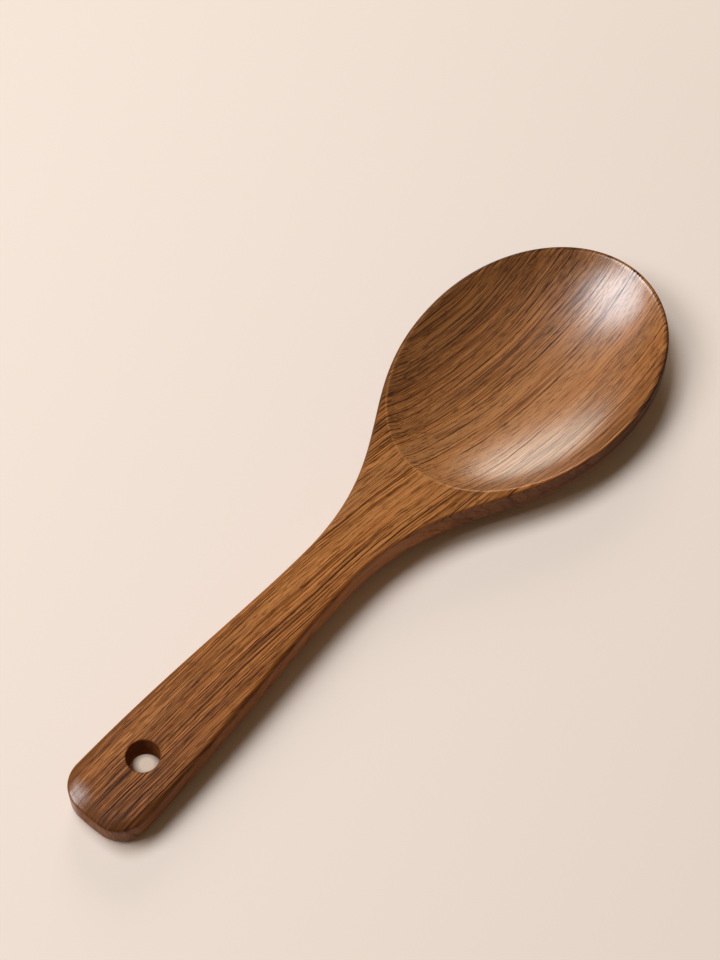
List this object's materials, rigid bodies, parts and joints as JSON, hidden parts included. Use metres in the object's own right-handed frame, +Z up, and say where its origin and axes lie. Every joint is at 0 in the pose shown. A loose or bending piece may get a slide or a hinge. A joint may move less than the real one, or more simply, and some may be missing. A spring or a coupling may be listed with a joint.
{
  "type": "rice paddle",
  "caption": "Wooden rice paddle with an oval scooped blade, a slim neck and a flat handle with a hang hole.",
  "frame": {"origin": "on the table plane, under the middle of the paddle's length and width", "axes": "+X along the paddle from the handle's end to the tip of the blade, +Y across it, +Z up, with the scoop facing +Z"},
  "size_m": [0.22, 0.067, 0.012],
  "materials": {
    "oiled_wood": "dark reddish brown hardwood with long dark grain, sanded smooth and oiled to a satin sheen"
  },
  "bodies": {
    "root": {"paddle": "oiled_wood"}
  },
  "joints": []
}
